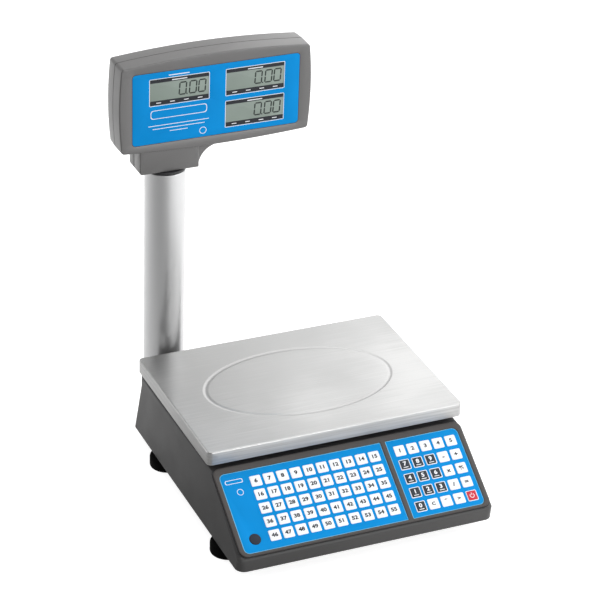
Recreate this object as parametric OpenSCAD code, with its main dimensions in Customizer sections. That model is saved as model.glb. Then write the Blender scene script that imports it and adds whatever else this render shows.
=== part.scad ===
// Label printing scale: weighing base, keyboard deck, side label printer and a pole display.
// The frame is +X right, +Y back, +Z up, with the table at Z = 0 and the origin under the middle.
// The pieces are drawn about the centre of the platter's top face and moved into place together.

/* [Platter] */
// Width of the tray
platter_w = 375.6; // [372:0.2:378]
// Depth of the tray
platter_d = 270; // [266:1:272]
// Depth of the turned-down lip
platter_lip = 20; // [14:1:20]
// Thickness of the sheet
platter_t = 1.2; // [1:0.1:1.6]
// Half length of the pressed ring
ring_rx = 134.8; // [120:0.2:140]
// Half depth of the pressed ring
ring_ry = 85.1; // [75:0.1:90]

/* [Base] */
// Width of the housing at its bottom edge
base_w = 375.2; // [374:0.2:378]
// Width of the housing at its roof
base_top_w = 366; // [364:0.5:368]
// Height from the housing's bottom edge to the tray's top
base_h = 120; // [120:0.5:122]
// Slope of the keyboard deck in degrees
deck_angle = 32.4; // [31:0.1:33]
// Wall of the mouldings
wall = 3; // [2.6:0.1:3]

/* [Keys] */
// Side of one key
key_size = 15.5; // [14:0.1:15.8]
// How far a key stands over the overlay
key_rise = 0.7; // [0.5:0.1:1]
// Column pitch
key_pitch = 19.3; // [19:0.05:19.35]

/* [Pole and head] */
// Outer radius of the pole
pole_r = 28.95; // [28:0.05:29]
// Top of the pole over the tray
pole_top = 265; // [200:5:265]
// Width of the display head
head_w = 276.4; // [274:0.2:278]
// Height of the display head at its ends
head_h = 126; // [124:0.5:128]
// Depth of the display head
head_d = 50; // [50:1:54]

/* [Feet] */
// Radius of a foot pad
foot_r = 25; // [20:0.5:25]
// Gap from the table to the housing
foot_h = 20; // [20:0.5:22]

/* [Label printer] */
// Radius of a full label roll
roll_r = 32; // [20:1:32]
// Width of the label web
label_w = 58; // [50:1:60]

/* [Hidden] */
$fn = 64;

// where the tray's centre stands in the part's frame
tray_x = 5;
tray_y = 14;
tray_z = base_h + foot_h;
eps = 0.01;

// base outline, seen from the side (y, z)
floor_z = -base_h;
roof_z = -29;
front_y = -246.5;
rear_y = 155;
rear_lean = 11.8;
rear_round = 8;
nose_round = 7;
front_corner = 14;
deck_y = -141.9;
deck_z = -32.3;
deck_drop = 2;
pan_t = 2.5;
pan_z = floor_z + 2;

// keyboard deck, in the deck's own plane: x across, s down the slope, n out of it
overlay_len = 118.7;
overlay_t = 0.5;
left_x0 = -176.2;
left_x1 = 60.8;
right_x0 = 67.9;
right_x1 = 176.2;
bezel_x = 183.2;
bezel_s0 = -9.5;
bezel_s1 = 122.6;
bezel_rise = 1;
ledge = 3;
key_play = 0.3;
key_depth = 1.2;
preset_x0 = -128;
preset_s0 = 18.5;
preset_pitch_s = 20.3;
pad_x0 = 84.2;
pad_s0 = 17.8;
pad_pitch_s = 21.4;
window_s = 59;
window_size = [354, 116];
board_t = 1.6;
plug_x = -156.1;
plug_s = 99.7;
plug_r = 7.9;

// pole and display head
pole_x = -129.4;
pole_y = 187;
pole_wall = 2;
socket_r = 31.5;
socket_top = -62;
pole_foot = -114;
collar_h = 3.8;
collar_plug = 24;
cable_r = 8;
hub_r = 13;
hub_top = 298;
head_x = -63.9;
head_z = 367.3;
head_face = 163;
head_back = head_face + head_d;
head_split = head_face + head_d / 2;
head_wall = 2.5;
head_corner = 8;
crown_top = 7.3;
crown_bottom = 4.5;
crown_side = 3;
neck_x0 = -174.5;
neck_x1 = -88;
neck_z = 269;
neck_back = 207;
neck_blend = 31;
panel_w = 244;
panel_h = 104.7;
panel_t = 0.8;
lcd_w = 85.7;
lcd_h = 38.4;
lcd_places = [[-54.3, 23.2], [56.5, 23.2], [56.5, -24]];

// label printer, on the right-hand side
bay_y = 50;
door_y0 = -2;
door_y1 = 102;
door_z0 = -111.2;
door_z1 = -46;
door_gap = 0.6;
door_pin_x = 184.8;
door_pin_z = -107;
door_pin_r = 1;
slot_z = -52;
plate_gap = 68;
plate_t = 2;
plate_y0 = bay_y - plate_gap / 2;
plate_y1 = bay_y + plate_gap / 2;
frame_x0 = 96;
frame_x1 = 180;
frame_top = -35;
roll_x = 133;
roll_z = -78;
core_r = 12.575;
core_out_r = 14;
spindle_r = 12.5;
platen_x = 171;
platen_z = -58;
platen_r = 6;
shaft_r = 2;
gear_module = 0.8;
platen_teeth = 20;
motor_teeth = 12;
gear_y = plate_y1 + plate_t + 1;
motor_x = platen_x - gear_module * (platen_teeth + motor_teeth) / 2 - 0.15;
motor_r = 12;
motor_len = 14;
motor_gap = 6.5;
motor_ear = 15;
motor_y = gear_y - 1 + motor_gap;
motor_shaft_r = 1.25;
head_pivot_x = 150;
head_pivot_z = -42;
latch_y = [87, 97];
latch_z = [-90, -78];
latch_play = 0.3;
leaf_t = 0.6;
leaf_top = frame_top - 2;
head_top = head_pivot_z - 0.5;
screw_places = [[-180, 128], [180, 128], [-180, -122], [180, -122]];
post_r = 5;
rim_h = 6;
bracket_screws = [[pole_x - 22, 115], [pole_x + 22, 115]];

// platter support
pad_places = [[-140, -95], [140, -95], [-140, 95], [140, 95]];
pad_top = -platter_t;
pad_h = 4;
plan_z = -22;
cell_w = 40;
cell_low = -102;
cell_top = -72;
cell_bores = [-14, 22];
pedestal_y0 = -57;
pedestal_y1 = -31;
live_bolts = [-49, -39];
fixed_bolts = [43, 57];

// connector plate in the rear wall
plate_x0 = 14;
plate_x1 = 134;
plate_top = -76;
plate_play = 0.3;
inlet_x = 34;
inlet_z = -92;
inlet_w = 26;
inlet_h = 22;
flange_t = 2.2;
ports_x = 96;
ports_z = -96;
foot_places = [[-168, -163], [168, -163], [-168, 68], [168, 68]];

// ---------- helpers ----------

module in_place() translate([tray_x, tray_y, tray_z]) children();

// a point of the deck: x across, s down the slope, n out of the surface
module on_deck(x, s, n)
    translate([x, deck_y, deck_z]) rotate([deck_angle, 0, 0]) translate([0, -s, n]) children();

module rounded(w, d, r) {
    square([w - 2 * r, d], center = true);
    square([w, d - 2 * r], center = true);
    for (i = [-1, 1], j = [-1, 1]) translate([i * (w / 2 - r), j * (d / 2 - r)]) circle(r);
}

module block(x0, x1, y0, y1, z0, z1) translate([x0, y0, z0]) cube([x1 - x0, y1 - y0, z1 - z0]);

module tube(r, r_in, h) difference() {
    cylinder(r = r, h = h);
    translate([0, 0, -1]) cylinder(r = r_in, h = h + 2);
}

module along_y(x, y, z) translate([x, y, z]) rotate([-90, 0, 0]) children();

// a side view with rounded top corners
module arched(w, h, r) {
    translate([-w / 2, 0]) square([w, h - r]);
    translate([-w / 2 + r, 0]) square([w - 2 * r, h]);
    for (i = [-1, 1]) translate([i * (w / 2 - r), h - r]) circle(r);
}

// a slab with rounded corners and a rounded top edge
module soft_slab(w, d, h, corner, edge) intersection() {
    linear_extrude(h) rounded(w, d, corner);
    translate([0, d, 0]) rotate([90, 0, 0]) linear_extrude(2 * d) arched(w, h, edge);
    translate([-w, 0, 0]) rotate([90, 0, 90]) linear_extrude(2 * w) arched(d, h, edge);
}

function arc(cx, cy, r, a0, a1, n) = [for (i = [0:n])
    let (a = a0 + (a1 - a0) * i / n) [cx + r * cos(a), cy + r * sin(a)]];
function ellipse_points(rx, ry, n) = [for (i = [0:n - 1]) [rx * cos(360 * i / n), ry * sin(360 * i / n)]];

// spur gear outline: straight-flanked teeth on the given module
function gear_points(m, teeth) = [for (i = [0:teeth - 1]) let (p = 360 / teeth) each [
    [(m * teeth / 2 - 1.2 * m) * cos(p * (i - 0.32)), (m * teeth / 2 - 1.2 * m) * sin(p * (i - 0.32))],
    [(m * teeth / 2 + 0.9 * m) * cos(p * (i - 0.1)), (m * teeth / 2 + 0.9 * m) * sin(p * (i - 0.1))],
    [(m * teeth / 2 + 0.9 * m) * cos(p * (i + 0.1)), (m * teeth / 2 + 0.9 * m) * sin(p * (i + 0.1))],
    [(m * teeth / 2 - 1.2 * m) * cos(p * (i + 0.32)), (m * teeth / 2 - 1.2 * m) * sin(p * (i + 0.32))]]];

// ---------- base ----------

// side outline of the base, moved inwards by i
function deck_base_y(i) = deck_y + (deck_drop + i) * sin(deck_angle);
function deck_base_z(i) = deck_z - (deck_drop + i) * cos(deck_angle);
nose_z = deck_base_z(0) + (front_y - deck_base_y(0)) * tan(deck_angle)
    - nose_round / tan(45 + deck_angle / 2);
function side_outline(i) = concat(
    [[rear_y - i / cos(rear_lean), floor_z - 1]],
    arc(rear_y - (roof_z - rear_round - floor_z) * tan(rear_lean) - rear_round / cos(rear_lean),
        roof_z - rear_round, rear_round - i, rear_lean, 90, 5),
    [[deck_base_y(i) + (roof_z - i - deck_base_z(i)) / tan(deck_angle), roof_z - i]],
    arc(front_y + nose_round, nose_z, nose_round - i, 90 + deck_angle, 180, 5),
    [[front_y + i, floor_z - 1]]);

// the base's outer form, moved inwards by i
module base_form(i) intersection() {
    translate([-base_w, 0, 0]) rotate([90, 0, 90]) linear_extrude(2 * base_w) polygon(side_outline(i));
    translate([0, rear_y + 5, 0]) rotate([90, 0, 0]) linear_extrude(rear_y - front_y + 10) polygon([
        [-base_w / 2 + i, floor_z], [base_w / 2 - i, floor_z],
        [base_top_w / 2 - i, roof_z + 1], [-base_top_w / 2 + i, roof_z + 1]]);
    translate([0, (rear_y + front_y) / 2, floor_z]) linear_extrude(base_h)
        rounded(base_w - 2 * i, rear_y - front_y - 2 * i, front_corner - i);
}

module printer_opening() block(base_top_w / 2 - 8, base_w / 2 + 2, door_y0, door_y1, door_z0, door_z1);

module top_housing() color("#5a5a5c") in_place() {
    difference() {
        base_form(0);
        difference() {
            base_form(wall);
            // screw posts that take the base pan's screws
            for (p = screw_places) translate([p[0], p[1], pan_z + rim_h]) cylinder(r = post_r, h = base_h);
        }
        // way through the roof for the spider's pedestal
        block(-30, 30, pedestal_y0 - 10, pedestal_y1 + 10, roof_z - 10, roof_z + 2);
        // window under the keyboard
        on_deck(0, window_s, -8) linear_extrude(12) square(window_size, center = true);
        printer_opening();
        // notch for the connector plate
        block(plate_x0, plate_x1, 120, rear_y + 2, floor_z - 1, plate_top);
        // notch for the pole's bracket
        block(pole_x - 36, pole_x + 36, rear_y - 12, rear_y + 2, floor_z - 1, pan_z + 0.2);
        for (p = screw_places) translate([p[0], p[1], pan_z + pan_t]) cylinder(r = 1.6, h = 15);
        // holes for the door's pin
        along_y(door_pin_x, door_y0 - 9, door_pin_z) cylinder(r = door_pin_r, h = door_y1 - door_y0 + 18);
    }
    // lugs that hold the door's pin
    for (y = [door_y0 - 6, door_y1]) difference() {
        along_y(door_pin_x - 1, y, door_pin_z) cylinder(r = 2.6, h = 6);
        along_y(door_pin_x, y - 1, door_pin_z) cylinder(r = door_pin_r, h = 8);
    }
}

module base_pan() color("#2c2c2e") in_place() difference() {
    union() {
        difference() {
            intersection() {
                base_form(wall + 0.4);
                block(-base_w, base_w, front_y, rear_y, pan_z, pan_z + rim_h);
            }
            difference() {
                intersection() {
                    base_form(wall + 2);
                    block(-base_w, base_w, front_y, rear_y, pan_z + pan_t, pan_z + 2 * rim_h);
                }
                // screw bosses against the rim
                for (p = screw_places) translate([p[0], p[1], pan_z]) cylinder(r = post_r, h = 3 * rim_h);
            }
        }
        // bosses for the feet, the load cell's block and the boards' posts
        for (p = foot_places) translate([p[0], p[1], pan_z]) cylinder(r = 9, h = 12);
        block(-cell_w / 2, cell_w / 2, 34, 66, pan_z, cell_low);
        for (x = [-160, -50], y = [-70, 40]) translate([x, y, pan_z]) cylinder(r = 4, h = 9);
    }
    for (p = foot_places) translate([p[0], p[1], pan_z - 1]) cylinder(r = 4.05, h = 14);
    for (y = fixed_bolts) translate([0, y, -114]) cylinder(r = 3, h = 13);
    for (p = screw_places) translate([p[0], p[1], pan_z - 1]) cylinder(r = 1.6, h = rim_h + 2);
    for (p = bracket_screws) translate([p[0], p[1], pan_z - 1]) cylinder(r = 2, h = 6);
    // cooling slots under the power supply
    for (i = [0:5]) block(-90 + 10 * i, -86 + 10 * i, 70, 110, pan_z - 1, pan_z + pan_t + 1);
}

module base_screws() color("silver") in_place() {
    for (p = screw_places) translate([p[0], p[1], pan_z]) {
        translate([0, 0, -1.8]) cylinder(r = 3.2, h = 1.8);
        cylinder(r = 1.5, h = 14);
    }
    for (p = bracket_screws) translate([p[0], p[1], pan_z - 3.4]) {
        translate([0, 0, -2.2]) cylinder(r = 3.6, h = 2.2);
        cylinder(r = 1.9, h = 10);
    }
}

// ---------- feet ----------

module foot(i) color("#161616") in_place() translate([foot_places[i][0], foot_places[i][1], 0]) {
    translate([0, 0, floor_z - foot_h]) rotate_extrude() polygon(concat(
        [[0, 0], [foot_r - 1, 0], [foot_r, 1]],
        arc(foot_r - 3, 14, 3, 0, 90, 4),
        [[0, 17]]));
    translate([0, 0, floor_z - foot_h + 16]) cylinder(r = 4, h = 22);
}

// ---------- keyboard ----------

module deck_window(x0, x1, s0, s1, r) translate([(x0 + x1) / 2, -(s0 + s1) / 2]) rounded(x1 - x0, s1 - s0, r);

module key_bezel() color("#6e6661") in_place() on_deck(0, 0, -deck_drop) difference() {
    linear_extrude(deck_drop + bezel_rise) deck_window(-bezel_x, bezel_x, bezel_s0, bezel_s1, 11);
    // overlay recesses, then the windows through their ledges
    for (x = [[left_x0, left_x1], [right_x0, right_x1]]) {
        translate([0, 0, deck_drop - overlay_t]) linear_extrude(5) deck_window(x[0], x[1], 0, overlay_len, 8);
        translate([0, 0, -1]) linear_extrude(10)
            deck_window(x[0] + ledge, x[1] - ledge, ledge, overlay_len - ledge, 5);
    }
}

// one overlay film with a clearance hole round each key
module overlay(x0, x1, places, hole) color("#1f97de") in_place() on_deck(0, 0, -overlay_t) difference() {
    linear_extrude(overlay_t) deck_window(x0 + 0.1, x1 - 0.1, 0.1, overlay_len - 0.1, 8);
    for (p = places) translate([p[0], -p[1], -1]) linear_extrude(3)
        square(key_size + 2 * key_play, center = true);
    if (hole) translate([plug_x, -plug_s, -1]) cylinder(r = plug_r + 0.1, h = 3);
}

function preset_row(row) = [for (c = [0:9])
    [preset_x0 + c * key_pitch, preset_s0 + (row - 1) * preset_pitch_s]];
function pad_key(row, column) = [pad_x0 + (column - 1) * key_pitch, pad_s0 + (row - 1) * pad_pitch_s];

module key_overlay_left()
    overlay(left_x0, left_x1, [for (row = [1:5]) each preset_row(row)], true);
module key_overlay_right()
    overlay(right_x0, right_x1, [for (row = [1:5], column = [1:5]) pad_key(row, column)], false);

module keys(places, tint) color(tint) in_place() for (p = places) on_deck(p[0], p[1], -key_depth)
    linear_extrude(key_depth + key_rise) rounded(key_size, key_size, 1.6);

module seal_plug() color("#4c4a4a") in_place() on_deck(plug_x, plug_s, -1.7) {
    cylinder(r = plug_r, h = 2);
}

module key_board() color("#2f6b3c") in_place() on_deck(0, window_s, -deck_drop - board_t) {
    linear_extrude(board_t) square([window_size[0] - 3, window_size[1] - 2], center = true);
    // chips on the underside
    for (x = [-120, -30, 90]) translate([x - 8, -8, -1.5]) cube([16, 16, board_t]);
}

// ---------- weighing parts ----------

module platter() color("#c9c9c7") in_place() difference() {
    translate([0, 0, -platter_lip]) soft_slab(platter_w, platter_d, platter_lip, 9, 3);
    translate([0, 0, -platter_lip - 1]) soft_slab(platter_w - 2 * platter_t, platter_d - 2 * platter_t,
        platter_lip + 1 - platter_t, 9 - platter_t, 3 - platter_t);
    // pressed ring
    translate([0, 0, -0.4]) linear_extrude(1) difference() {
        polygon(ellipse_points(ring_rx + 4, ring_ry + 4, 72));
        polygon(ellipse_points(ring_rx - 4, ring_ry - 4, 72));
    }
}

module spider_plan() {
    square([90, 116], center = true);
    for (p = pad_places) {
        rotate(atan2(p[1], p[0])) translate([0, -8]) square([norm(p), 16]);
        translate(p) circle(12);
    }
}

module platter_spider() color("#9a9a98") in_place() difference() {
    union() {
        translate([0, 0, plan_z]) linear_extrude(8) spider_plan();
        for (p = pad_places) translate([p[0], p[1], plan_z + 7])
            cylinder(r = 10.5, h = pad_top - pad_h - plan_z - 7);
        block(-cell_w / 2, cell_w / 2, pedestal_y0, pedestal_y1, cell_top, plan_z + 1);
    }
    for (y = live_bolts) translate([0, y, cell_top - 1]) cylinder(r = 3, h = 15);
}

module spider_pads() color("#1c1c1c") in_place() for (p = pad_places)
    translate([p[0], p[1], pad_top - pad_h]) cylinder(r = 10, h = pad_h);

module load_cell() color("#b9bcc0") in_place() difference() {
    block(-cell_w / 2, cell_w / 2, pedestal_y0, 66, cell_low, cell_top);
    // the two bores and the slot that let the beam bend
    for (y = cell_bores) translate([-cell_w, y, (cell_low + cell_top) / 2]) rotate([0, 90, 0])
        cylinder(r = 11, h = 2 * cell_w);
    block(-cell_w, cell_w, cell_bores[0], cell_bores[1], -89, -85);
    for (y = concat(live_bolts, fixed_bolts)) translate([0, y, cell_low - 1]) cylinder(r = 3.3, h = 32);
}

module load_cell_bolts() color("#8d8f92") in_place() {
    for (y = fixed_bolts) translate([0, y, 0]) {
        translate([0, 0, cell_top]) cylinder(r = 5, h = 6);
        translate([0, 0, -113]) cylinder(r = 3, h = 42);
    }
    for (y = live_bolts) translate([0, y, 0]) {
        translate([0, 0, cell_low - 6]) cylinder(r = 4.8, h = 6);
        translate([0, 0, cell_low - 1]) cylinder(r = 3, h = 44);
    }
}

// ---------- electronics ----------

module main_board() color("#2f6b3c") in_place() {
    block(-166, -44, -76, 46, pan_z + 9, pan_z + 10.6);
    for (c = [[-140, -40, 24], [-100, -50, 14], [-90, 10, 20], [-70, -20, 10], [-150, 20, 12]])
        block(c[0], c[0] + c[2], c[1], c[1] + c[2], pan_z + 10, pan_z + 13);
    block(-60, -48, 20, 44, pan_z + 10, pan_z + 20);
}

module power_supply() color("#a8a8a6") in_place() {
    block(-95, -5, 74, 132, pan_z + pan_t, pan_z + 36);
    block(-5 - eps, 1, 84, 122, pan_z + 12, pan_z + 24);
}

// an appliance inlet with a flange on the leaning rear wall
module mains_inlet() color("#1a1a1a") in_place() translate([inlet_x, 0, inlet_z]) difference() {
    union() {
        block(-inlet_w / 2, inlet_w / 2, 128, 149, -inlet_h / 2, inlet_h / 2);
        translate([0, rear_y - (inlet_z - floor_z) * tan(rear_lean), 0]) rotate([90 + rear_lean, 0, 0])
            translate([0, 0, -flange_t]) linear_extrude(flange_t) rounded(48, 28, 4);
    }
    block(-9, 9, 136, 170, -6, 6);
}

// metal plate that closes the notch in the rear wall, with three data sockets
module rear_ports() color("#77797c") in_place() difference() {
    union() {
        difference() {
            intersection() {
                base_form(0);
                block(plate_x0 + plate_play, plate_x1 - plate_play, 120, rear_y + 2,
                    floor_z, plate_top - plate_play);
            }
            base_form(wall);
        }
        block(ports_x - 29, ports_x + 29, 132, 149, ports_z - 7, ports_z + 7);
    }
    block(inlet_x - inlet_w / 2 - plate_play, inlet_x + inlet_w / 2 + plate_play, 120, rear_y + 2,
        inlet_z - inlet_h / 2 - plate_play, inlet_z + inlet_h / 2 + plate_play);
    for (x = [-19, 0, 19])
        block(ports_x + x - 7, ports_x + x + 7, 138, 170, ports_z - 5, ports_z + 5);
}

// ---------- pole ----------

module pole_socket() color("#3a3a3c") in_place() difference() {
    union() {
        // plate under the pan, then the cup for the pole
        block(pole_x - socket_r, pole_x + socket_r, 95, pole_y, pan_z - 3, pan_z);
        translate([pole_x, pole_y, pan_z - 3]) cylinder(r = socket_r, h = socket_top - pan_z + 3);
    }
    translate([pole_x, pole_y, pole_foot]) cylinder(r = pole_r, h = 100);
    translate([pole_x, pole_y, pan_z - 5]) cylinder(r = 12, h = 100);
    for (p = bracket_screws) translate([p[0], p[1], pan_z - 6]) cylinder(r = 2, h = 8);
}

module pole() color("#c6c8ca") in_place() translate([pole_x, pole_y, pole_foot])
    tube(pole_r, pole_r - pole_wall, pole_top - pole_foot);

module swivel_collar() color("#1d1d1f") in_place() translate([pole_x, pole_y, 0]) difference() {
    union() {
        translate([0, 0, pole_top - collar_plug]) cylinder(r = pole_r - pole_wall, h = collar_plug);
        translate([0, 0, pole_top]) cylinder(r = pole_r, h = collar_h);
        cylinder_between(hub_r, pole_top, hub_top);
    }
    cylinder_between(cable_r, pole_top - collar_plug - 1, hub_top + 1);
}

module cylinder_between(r, z0, z1) translate([0, 0, z0]) cylinder(r = r, h = z1 - z0);

module neck_bush() color("#e4e1d8") in_place() translate([pole_x, pole_y, neck_z + head_wall])
    tube(17, hub_r + 0.05, hub_top - neck_z - head_wall);

// ---------- display head ----------

// outline of the head about its middle, moved inwards by i: four bowed sides and round corners
corner_x = head_w / 2 - head_corner;
function bow(t, h) = h * (1 - t * t);
function crown_edge(side, c, i) = [for (k = [-7:7]) let (x = -side * k / 7 * corner_x)
    [x, side * (head_h / 2 - i + bow(x / (head_w / 2), c))]];
function corner_z(c) = head_h / 2 + bow(corner_x / (head_w / 2), c) - head_corner;
function side_edge(side, i) = [for (k = [-4:4]) let (t = side * k / 5)
    [side * (head_w / 2 - i + bow(t, crown_side)),
        t * (t > 0 ? corner_z(crown_top) : corner_z(crown_bottom))]];
function head_outline(i) = concat(
    crown_edge(1, crown_top, i),
    arc(-corner_x, corner_z(crown_top), head_corner - i, 96, 174, 5),
    side_edge(-1, i),
    arc(-corner_x, -corner_z(crown_bottom), head_corner - i, 186, 266, 5),
    crown_edge(-1, crown_bottom, i),
    arc(corner_x, -corner_z(crown_bottom), head_corner - i, 274, 354, 5),
    side_edge(1, i),
    arc(corner_x, corner_z(crown_top), head_corner - i, 6, 84, 5));

module head_plan(i) translate([head_x, head_z]) polygon(head_outline(i));

module neck_plan(i) {
    translate([neck_x0 + i, neck_z + i]) square([neck_x1 - neck_x0 - 2 * i, 50]);
    difference() {
        translate([neck_x1 - i - 1, neck_z + i]) square([neck_blend + 1, neck_blend + 4]);
        translate([neck_x1 + neck_blend, neck_z]) circle(neck_blend + i);
        translate([neck_x1 + neck_blend - 3, neck_z - 1]) square([20, neck_blend]);
    }
}

// a plan in X and Z, drawn from y0 to y1
module upright(y0, y1) translate([0, y1, 0]) rotate([90, 0, 0]) linear_extrude(y1 - y0) children();

module lcd_holes(y0, y1, flip, gap) for (p = lcd_places)
    upright(y0, y1) translate([head_x + flip * p[0], head_z + p[1]])
        square([lcd_w + gap, lcd_h + gap], center = true);

module panel_shape(y0, y1, gap)
    upright(y0, y1) translate([head_x, head_z]) rounded(panel_w + gap, panel_h + gap, 5);

// the same, given in either order
module upright_between(ya, yb) upright(min(ya, yb), max(ya, yb)) children();

// y0 is the face, y1 the split between the shells; the neck's face is at neck_y
module head_shell(y0, y1, neck_y, flip) {
    out = y1 > y0 ? 1 : -1;
    difference() {
        union() {
            upright_between(y0, y1) head_plan(0);
            upright_between(neck_y, y1) neck_plan(0);
        }
        upright_between(y0 + out * head_wall, y1 + out) head_plan(head_wall);
        upright_between(neck_y + out * head_wall, y1 + out) neck_plan(head_wall);
        // recess for the display panel, then the windows
        panel_shape(min(y0 - out, y0 + out * panel_t), max(y0 - out, y0 + out * panel_t), 0.2);
        lcd_holes(min(y0, y1), max(y0, y1), flip, 1);
        // way in for the collar's hub
        translate([pole_x, pole_y, neck_z - 1]) cylinder(r = 17.2, h = 20);
    }
}

module head_front_shell() color("#58585a") in_place() head_shell(head_face, head_split, head_face, 1);
module head_rear_shell() color("#4d4d4f") in_place() head_shell(head_back, head_split, neck_back, -1);

module head_panel(y0, flip) difference() {
    panel_shape(y0, y0 + panel_t, 0);
    lcd_holes(y0 - 1, y0 + panel_t + 1, flip, 0);
}

module head_panel_front() color("#1f97de") in_place() head_panel(head_face, 1);
module head_panel_rear() color("#1f97de") in_place() head_panel(head_back - panel_t, -1);

// three glass modules behind each panel
module lcd_modules() color("#a9b3a0") in_place() {
    lcd_holes(head_face + panel_t, head_face + 8, 1, 0.6);
    lcd_holes(head_back - 8, head_back - panel_t, -1, 0.6);
}

module head_board() color("#2f6b3c") in_place()
    block(head_x - 122, head_x + 122, head_split - 0.8, head_split + 0.8, head_z - 50, head_z + 52);

// ---------- label printer ----------

module side_plate(y) block(frame_x0, frame_x1, y, y + plate_t, pan_z + pan_t, frame_top);

module printer_frame() color("#b4b6b8") in_place() difference() {
    union() {
        side_plate(plate_y0 - plate_t);
        side_plate(plate_y1);
        // floor tabs and cross bars tie the two plates together
        block(frame_x0, frame_x0 + 5, plate_y0, plate_y1, frame_top - 12, frame_top);
        block(frame_x0 + 20, frame_x0 + 60, plate_y0, plate_y1, pan_z + pan_t, pan_z + pan_t + 2);
        block(137, 147, plate_y0, plate_y1, frame_top - 2, frame_top);
        // posts that carry the feed motor
        for (z = [-motor_ear, motor_ear]) along_y(motor_x, plate_y1, platen_z + z)
            cylinder(r = 2.5, h = motor_y - plate_y1);
    }
    for (y = [plate_y0 - plate_t - 1, plate_y1 - 1]) {
        along_y(platen_x, y, platen_z) cylinder(r = shaft_r + 0.05, h = plate_t + 2);
        along_y(head_pivot_x, y, head_pivot_z) cylinder(r = 1.55, h = plate_t + 2);
        along_y(roll_x, y, roll_z) cylinder(r = 6, h = plate_t + 2);
    }
}

module roll_spindle() color("#d8d6cf") in_place() {
    along_y(roll_x, plate_y0, roll_z) cylinder(r = spindle_r, h = plate_gap);
    for (y = [plate_y0 - plate_t, plate_y1 - eps])
        along_y(roll_x, y, roll_z) cylinder(r = 6, h = plate_t + eps);
}

module roll_core() color("#b08d5b") in_place()
    along_y(roll_x, bay_y - label_w / 2, roll_z) tube(core_out_r, core_r, label_w);
module label_roll() color("#f2f2ee") in_place()
    along_y(roll_x, bay_y - label_w / 2, roll_z) tube(roll_r, core_out_r, label_w);

module platen_roller() color("#242424") in_place() {
    along_y(platen_x, bay_y - label_w / 2, platen_z) cylinder(r = platen_r, h = label_w);
    along_y(platen_x, plate_y0 - plate_t - 1, platen_z)
        cylinder(r = shaft_r, h = plate_gap + 2 * plate_t + 7);
}

module gear(teeth, bore) difference() {
    linear_extrude(4) polygon(gear_points(gear_module, teeth));
    translate([0, 0, -1]) cylinder(r = bore, h = 6);
}

module platen_gear() color("#e9e6da") in_place()
    along_y(platen_x, gear_y, platen_z) gear(platen_teeth, shaft_r);
module motor_gear() color("#c9a24a") in_place()
    along_y(motor_x, gear_y, platen_z) rotate([0, 0, 180 / motor_teeth]) gear(motor_teeth, motor_shaft_r);

module feed_motor() color("#7c7e82") in_place() difference() {
    union() {
        along_y(motor_x, motor_y, platen_z) cylinder(r = motor_r, h = motor_len);
        block(motor_x - 5, motor_x + 5, motor_y, motor_y + 1.5,
            platen_z - motor_ear - 3.5, platen_z + motor_ear + 3.5);
    }
    // bore for the turning shaft
    along_y(motor_x, motor_y - 1, platen_z) cylinder(r = motor_shaft_r + 0.05, h = 11);
}

module motor_shaft() color("silver") in_place() along_y(motor_x, gear_y, platen_z)
    cylinder(r = motor_shaft_r, h = 12);

module print_head() color("#8f9296") in_place() {
    block(head_pivot_x - 2, platen_x + 6, bay_y - 30, bay_y + 30, head_pivot_z - 4, head_pivot_z - 0.5);
    block(platen_x - 7, platen_x + 6, bay_y - 29, bay_y + 29, platen_z + platen_r + 0.4, head_pivot_z - 3);
    along_y(head_pivot_x, plate_y0 - plate_t, head_pivot_z) cylinder(r = 1.5, h = plate_gap + 2 * plate_t);
}

// leaf under the cross bar that presses the print head down
module print_head_spring() color("#d0d2d4") in_place() upright(bay_y - 8, bay_y + 8) polygon([
    [139, leaf_top], [148, leaf_top], [164, head_top + leaf_t], [168, head_top + leaf_t],
    [168, head_top], [163.9, head_top], [147.9, leaf_top - leaf_t], [139, leaf_top - leaf_t]]);

module printer_door() color("#58585a") in_place() difference() {
    union() {
        difference() {
            intersection() {
                base_form(0);
                block(base_top_w / 2 - 6, base_w, door_y0 + door_gap, door_y1 - door_gap,
                    door_z0 + 1.4, door_z1 - door_gap);
            }
            base_form(wall);
        }
        for (y = [4, 78]) along_y(door_pin_x, y, door_pin_z) cylinder(r = 2.6, h = 18);
    }
    for (y = [3, 77]) along_y(door_pin_x, y, door_pin_z) cylinder(r = door_pin_r + 0.05, h = 20);
    along_y(door_pin_x, 22, door_pin_z) cylinder(r = 1.4, h = 56);
    along_y(door_pin_x, door_y0, door_pin_z) cylinder(r = 1.4, h = 6.2);
    along_y(door_pin_x, 96, door_pin_z) cylinder(r = 1.4, h = 8);
    // label slot in the top edge
    block(base_top_w / 2 - 10, base_w, bay_y - label_w / 2 - 2, bay_y + label_w / 2 + 2, slot_z, door_z1);
    // seat of the latch button
    block(base_top_w / 2 - 10, base_w, latch_y[0] - latch_play, latch_y[1] + latch_play,
        latch_z[0] - latch_play, latch_z[1] + latch_play);
}

module door_pin() color("#c0c2c4") in_place() along_y(door_pin_x, door_y0 - 6, door_pin_z)
    cylinder(r = door_pin_r, h = door_y1 - door_y0 + 12);

module door_latch() color("#2a2a2c") in_place()
    block(178, 187.4, latch_y[0], latch_y[1], latch_z[0], latch_z[1]);

// ---------- the whole ----------

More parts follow.
